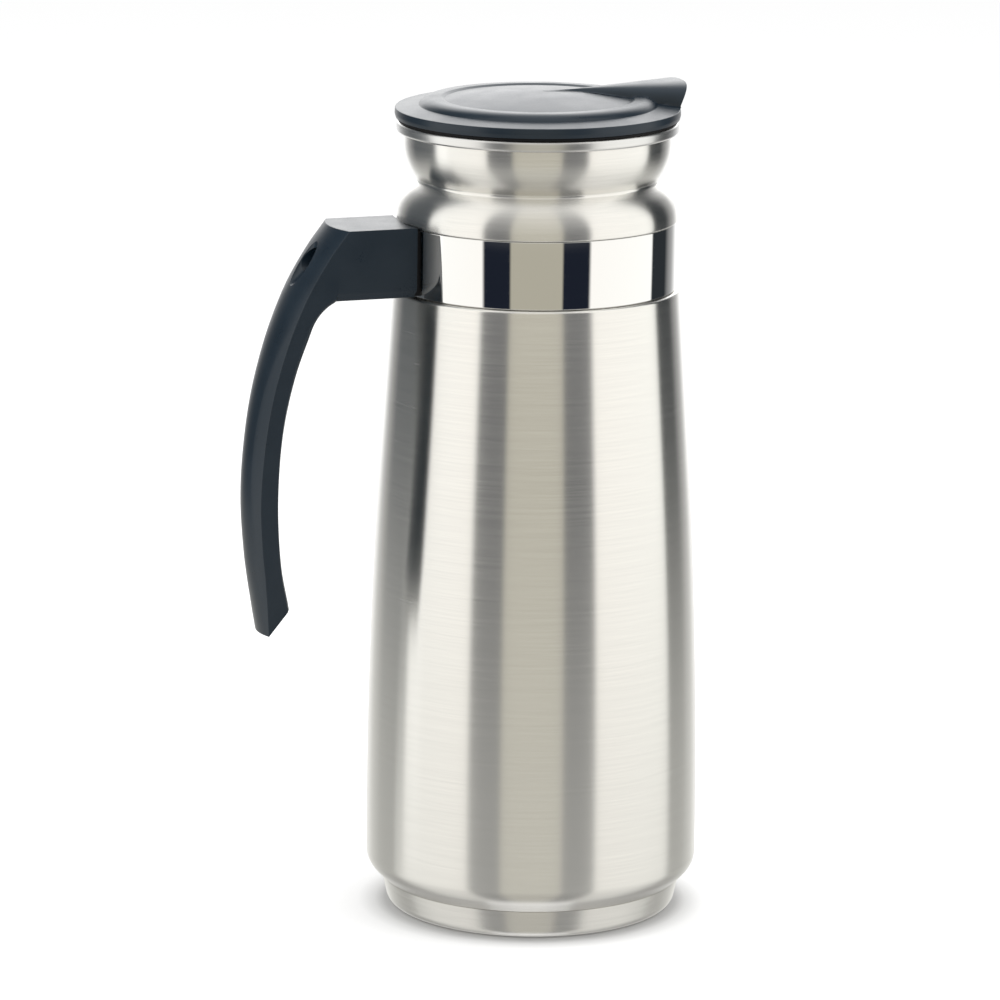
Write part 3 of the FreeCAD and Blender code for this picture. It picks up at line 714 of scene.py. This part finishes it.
def lid_surface():
    """Height of the lid's top over a radius, as a function."""
    top = [p for p in rounded_points(lid_path(), 4.0) if p.y > FLANGE_Z - 0.1]
    top.sort(key=lambda p: p.x)

    def height(r):
        if r >= top[-1].x:
            return FLANGE_Z + 0.05
        for a, b in zip(top, top[1:]):
            if a.x <= r <= b.x:
                share = (r - a.x) / max(b.x - a.x, 1e-9)
                return a.y + (b.y - a.y) * share
        return DOME_Z
    return height


def clamp(value):
    return max(0.0, min(1.0, value))


def hood_half_width(x):
    return max(HOOD_HALF_LEAST, HOOD_HALF + HOOD_SLOPE * (x - HOOD_HALF_X))


def hood_crest(x):
    """Height of the hood's top line over the distance from the axis."""
    share = clamp((x - HOOD_ROOT_X) / HOOD_LENGTH)
    return DOME_Z - ROOT_DEPTH + (HOOD_TOP - DOME_Z + ROOT_DEPTH) * share ** CREST_POWER


def arch(s):
    """Superellipse arch: full shoulders and steep sides."""
    return (1 - abs(s) ** FULLNESS) ** (1 / FULLNESS) if abs(s) < 1 else 0.0


def soft_max(a, b, softness):
    gap = max(softness - abs(a - b), 0) / softness
    return max(a, b) + gap * gap * softness / 4


def mouth_radius(z):
    """The mouth leans outwards: it overhangs the rim most at its top."""
    return MOUTH_R + MOUTH_LEAN * max(z - HOOD_FLOOR - MOUTH_FOOT, 0)


def hood_height(x, s, inset):
    return HOOD_FLOOR + (hood_crest(x) - inset - HOOD_FLOOR) * arch(s)


def hood_columns(reach):
    """Positions across the hood, closer together on its shoulders and sides."""
    half = [0, 0.12, 0.24, 0.36, 0.47, 0.57, 0.66, 0.74, 0.80, 0.85, 0.89, 0.92, 0.945, 0.965,
            0.98, 0.99, 0.997]
    if reach > 1:
        half += [1.01, 1.04, 1.08, 1.13, 1.19, reach]
    return [-s for s in reversed(half[1:])] + half


def hood_line(start, count, s, inset, surface):
    """Points of one lengthwise line of the hood, ending at the mouth."""
    def point(x):
        y = s * (hood_half_width(x) - inset)
        z = hood_height(x, s, inset)
        if surface is not None:
            root = clamp((ROOT_END_X - x) / ROOT_FADE)
            z = soft_max(z, surface(math.hypot(x, y)) + LID_CLEAR, HOOD_BLEND + ROOT_BLEND * root)
        return Vector((x, y, z))

    near, far = MOUTH_SEARCH
    for _ in range(40):
        middle = (near + far) / 2
        p = point(middle)
        if math.hypot(p.x, p.y) > mouth_radius(p.z):
            far = middle
        else:
            near = middle
    return [point(start + (near - start) * k / count) for k in range(count + 1)]


def grid_faces(bm, columns):
    for one, two in zip(columns, columns[1:]):
        for k in range(len(one) - 1):
            bm.faces.new((one[k], one[k + 1], two[k + 1], two[k]))


def make_hood():
    surface = lid_surface()
    bm = bmesh.new()
    outer = [[bm.verts.new(p * MM) for p in hood_line(OUTER_START_X, HOOD_STEPS, s, 0, surface)]
             for s in hood_columns(SKIRT)]
    inner = [[bm.verts.new(p * MM) for p in hood_line(INNER_START_X, HOOD_STEPS, s, HOOD_T, None)]
             for s in hood_columns(1.0)]
    grid_faces(bm, outer)
    grid_faces(bm, inner)
    # the mouth's rim joins both skins; the outer flare folds onto the inner wall's foot
    extra = (len(outer) - len(inner)) // 2
    for k in range(len(outer) - 1):
        a = min(max(k - extra, 0), len(inner) - 1)
        b = min(max(k + 1 - extra, 0), len(inner) - 1)
        corners = [outer[k][-1], outer[k + 1][-1], inner[b][-1], inner[a][-1]]
        bm.faces.new(list(dict.fromkeys(corners)))
    return finish_mesh("pour_hood", bm, HOOD_CREASE)


def hood_cutter():
    """Closed block of the hood's hollow, cut out of the lid's turned shell."""
    bm = bmesh.new()
    start, end = HOLLOW_X
    rows = []
    for k in range(HOLLOW_STEPS + 1):
        x = start + (end - start) * k / HOLLOW_STEPS
        half = hood_half_width(x) - HOOD_T
        rows.append([bm.verts.new((x * MM, s * half * MM, hood_height(x, s, HOOD_T) * MM))
                     for s in hood_columns(1.0)])
    grid_faces(bm, rows)
    for row in (rows[0], rows[-1]):
        bm.faces.new(row)
    for a, b in zip(rows, rows[1:]):
        bm.faces.new((a[0], b[0], b[-1], a[-1]))
    return finish_mesh("hood_hollow", bm)


def cut_away(obj, cutter):
    """Subtracts the cutter from the object and removes the cutter."""
    step = obj.modifiers.new("cut", "BOOLEAN")
    step.operation = "DIFFERENCE"
    step.solver = "EXACT"
    step.object = cutter
    freeze(obj)
    bpy.data.objects.remove(cutter)


def freeze(obj):
    """Replaces the object's mesh with the result of its modifiers."""
    graph = bpy.context.evaluated_depsgraph_get()
    mesh = bpy.data.meshes.new_from_object(obj.evaluated_get(graph))
    obj.modifiers.clear()
    obj.data = mesh


def make_lid():
    shell = turned_shell("lid_shell", lid_path(), LID_T)
    cut_away(shell, hood_cutter())
    shell.data.set_sharp_from_angle(angle=math.radians(CUT_CREASE))
    stand_for(shell, "lid_cover")
    dress(make_hood(), "lid_cover")


# ---------------------------------------------------------------- handle
BOSS_LOW = low_of("handle_gasket") - 0.6
BOSS_TOP = top_of("handle")
GRIP_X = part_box("handle")[0].x / MM            # outermost point of the grip
END_R = BAND_R + 1.2                           # curved end next to the band
SCREW_Z = (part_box("handle_screw")[0].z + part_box("handle_screw")[1].z) / 2 / MM
CROWN, TIP_CROWN = 3.3, 1.8                    # bulge of the outer face, and its loss at the tip
FOOT_X = -78.6                                 # where the boss's underside starts to turn down
FILLET_R = 10.0
FILLET_TURN = math.radians(62)
# crown line of the outer face, from the boss's top edge to the tip
OUTER_RAIL = [Vector(p) for p in (
    (-77.6, BOSS_TOP), (-85.3, 243.0), (-93.6, 228.6), (-101.0, 209.5), (-106.5, 187.0),
    (GRIP_X, 160.0), (-108.2, 136.0), (-105.4, 117.0), (-103.8, 107.6))]
# inner face of the grip, from the end of the fillet under the boss to the tip
INNER_RAIL = [Vector(p) for p in (
    (-87.6, 218.6), (-93.6, 201.5), (-97.9, 181.0), (-99.4, 157.0), (-98.2, 134.0),
    (-95.0, 117.4))]
ELBOW_SHARE = 2.4 / 8                          # of the outer rail, level with the fillet
BOSS_ROWS, ELBOW_ROWS, GRIP_ROWS = 12, 12, 52
OUTER_COLUMNS, FACET_COLUMNS = 9, 3
GRIP_HALF, GRIP_WIDENS, GRIP_NARROWS = 11.0, 3.2, 2.6     # half width, and its change up and down
GRIP_LOW_Z, GRIP_RISE = 110, 125               # height from which it widens, and over how much
INNER_BULGE = 0.8
TIP_START, TIP_LENGTH = 130.0, 24.0            # the tip's taper starts here and runs down
FACET_LEAST, FACET_GAIN = 0.15, 0.33           # facet's share of the half width
FACET_MIDDLE, FACET_REACH = 179.0, 39.0        # height of the widest facet, and its fade
BOSS_EDGE, GRIP_EDGE = (3.0, 1.6), (1.2, 1.0)  # inner edges' chamfers: depth and width
EDGE_ROUND = 0.9


def catmull(points, share):
    """Smooth line through points, at a share of its length in points."""
    place = share * (len(points) - 1)
    i = min(int(place), len(points) - 2)
    t = place - i
    a = points[i - 1] if i > 0 else points[0] * 2 - points[1]
    b, c = points[i], points[i + 1]
    d = points[i + 2] if i + 2 < len(points) else points[-1] * 2 - points[-2]
    return 0.5 * ((2 * b) + (c - a) * t + (2 * a - 5 * b + 4 * c - d) * t * t
                  + (3 * b - a - 3 * c + d) * t ** 3)


def handle_half_width(z):
    share = clamp((z - GRIP_LOW_Z) / GRIP_RISE)
    return GRIP_HALF + GRIP_WIDENS * share ** 1.3 - GRIP_NARROWS * tip_share(z) ** 2


def tip_share(z):
    """0 along the grip, rising to 1 at its lower tip."""
    return clamp((TIP_START - z) / TIP_LENGTH)


def facet_share(z):
    """Width of the flat facet along each outer edge, as a share of the half width."""
    fade = max(0.0, 1 - ((z - FACET_MIDDLE) / FACET_REACH) ** 2)
    return FACET_LEAST + FACET_GAIN * fade ** 0.9


def crown_drop(v, facet, crown):
    """How far the outer face falls back from its crown line at v, -1..1 across."""
    start = 1 - facet
    if abs(v) <= start:
        return crown * v * v
    share = (abs(v) - start) / facet
    return crown * (start * start + (1 - start * start) * share)


def across(facet):
    """Positions across the outer face, with lines that follow the facets' edges."""
    start = 1 - facet
    half = [start * k / OUTER_COLUMNS for k in range(OUTER_COLUMNS + 1)]
    half += [start + facet * k / FACET_COLUMNS for k in range(1, FACET_COLUMNS + 1)]
    return [-v for v in reversed(half[1:])] + half


def fillet_point(turn):
    """Point on the round under the boss, after a turn from its level underside."""
    return Vector((FOOT_X - FILLET_R * math.sin(turn), BOSS_LOW - FILLET_R * (1 - math.cos(turn))))


def handle_rows():
    """Closed loops of points along the boss, round the elbow and down the grip."""
    rows = []
    for k in range(BOSS_ROWS + 1):
        q = k / BOSS_ROWS
        outer, inner = Vector((OUTER_RAIL[0].x * q, BOSS_TOP)), Vector((FOOT_X * q, BOSS_LOW))
        rows.append(handle_loop(outer, inner, q, True))
    miss = INNER_RAIL[0] - fillet_point(FILLET_TURN)
    for k in range(1, ELBOW_ROWS + 1):
        q = k / ELBOW_ROWS
        inner = fillet_point(q * FILLET_TURN) + miss * q
        rows.append(handle_loop(catmull(OUTER_RAIL, ELBOW_SHARE * q), inner, 1.0, False))
    for k in range(1, GRIP_ROWS + 1):
        q = k / GRIP_ROWS
        outer = catmull(OUTER_RAIL, ELBOW_SHARE + (1 - ELBOW_SHARE) * q)
        rows.append(handle_loop(outer, catmull(INNER_RAIL, q), 1.0, False))
    return rows


def handle_loop(outer, inner, q, in_boss):
    """Outer face, near side, inner face and far side; q runs 0..1 along the boss."""
    half_out = handle_half_width(outer.y)
    half_in = handle_half_width(inner.y)
    facet = facet_share(outer.y)
    crown = CROWN - TIP_CROWN * tip_share(outer.y)
    edge_depth, edge_width = BOSS_EDGE if in_boss else GRIP_EDGE
    toward = Vector((outer.x + (0 if in_boss else crown) - inner.x, outer.y - inner.y))
    depth = toward.length
    loop = []

    def put(x, boss_end, y, z):
        """The boss's points run from its curved end beside the band to boss_end."""
        if in_boss:
            x = -math.sqrt(END_R ** 2 - y ** 2) * (1 - q) + boss_end * q
        loop.append(Vector((x, y, z)))

    def put_edge(share, side):
        """A point of the chamfer between a side and the inner face."""
        half = half_in if share > 0 else half_in - edge_width
        put(inner.x + toward.x * share, FOOT_X, side * half, inner.y + toward.y * share)

    for v in across(facet):
        drop = crown_drop(v, facet, crown)
        put(outer.x + drop, OUTER_RAIL[0].x + drop, v * half_out, outer.y)
    put_edge(edge_depth / depth, 1)
    put_edge(0.0, 1)
    for v in (0.5, 0.0, -0.5):
        bulge = INNER_BULGE * (1 - v * v)
        put(inner.x + bulge, FOOT_X, v * half_in, inner.y)
    put_edge(0.0, -1)
    put_edge(edge_depth / depth, -1)
    return loop


def make_handle():
    bm = bmesh.new()
    rows = [[bm.verts.new(p * MM) for p in row] for row in handle_rows()]
    for one, two in zip(rows, rows[1:]):
        join_rings(bm, one, two)
    bm.faces.new(rows[0])
    bm.faces.new(rows[-1])
    handle = finish_mesh("grip", bm)
    round_off = handle.modifiers.new("edges", "BEVEL")
    round_off.width = EDGE_ROUND * MM
    round_off.segments = 3
    round_off.limit_method = "ANGLE"
    round_off.angle_limit = math.radians(30)
    freeze(handle)
    for cutter in screw_cutters():
        cut_away(handle, cutter)
    even = handle.modifiers.new("normals", "WEIGHTED_NORMAL")
    even.keep_sharp = True
    handle.data.set_sharp_from_angle(angle=math.radians(CUT_CREASE))
    freeze(handle)
    stand_for(handle, "handle")


ROD_SIDES = 48
DISH_X, DISH_UP = -88.0, 0.6                   # centre of the dish, from the screw's axis
DISH_LEAN = math.radians(29)
DISH_RADII = (4.2, 5.4, 10.2)
# name, radius and ends of each hole along the screw's axis
SCREW_HOLES = [("driver_bore", 4.6, -71.0, -120.0), ("screw_bore", 2.75, -80.0, -45.0),
               ("bracket_socket", 5.1, -62.3, -45.0)]


def rod(name, radius, start_x, end_x):
    """Cylinder along X on the screw's axis."""
    bm = bmesh.new()
    start, end = [circle(bm, ROD_SIDES, lambda turn: (
        x * MM, radius * MM * math.cos(turn), SCREW_Z * MM + radius * MM * math.sin(turn)))
        for x in (start_x, end_x)]
    join_rings(bm, start, end)
    bm.faces.new(start)
    bm.faces.new(end)
    return finish_mesh(name, bm)


def screw_cutters():
    """The dished mouth of the driver's bore, that bore, the screw's and the bracket's socket."""
    dish = bmesh.new()
    bmesh.ops.create_uvsphere(dish, u_segments=64, v_segments=40, radius=1.0)
    shape = (Matrix.Translation(Vector((DISH_X, 0, SCREW_Z + DISH_UP)) * MM)
             @ Matrix.Rotation(DISH_LEAN, 4, "Y")
             @ Matrix.Diagonal([r * MM for r in DISH_RADII] + [1]))
    bmesh.ops.transform(dish, matrix=shape, verts=dish.verts)
    return [finish_mesh("dish", dish)] + [rod(*hole) for hole in SCREW_HOLES]


# ---------------------------------------------------------------- the whole scene
make_camera()
make_world()
make_floor()
reflection_tent()
make_lights()

make_vessel()
make_lid()
make_handle()
for name, obj in nodes.items():
    paint(obj, slot_of[name])
    shade(obj)

bpy.context.scene.view_settings.view_transform = "Standard"
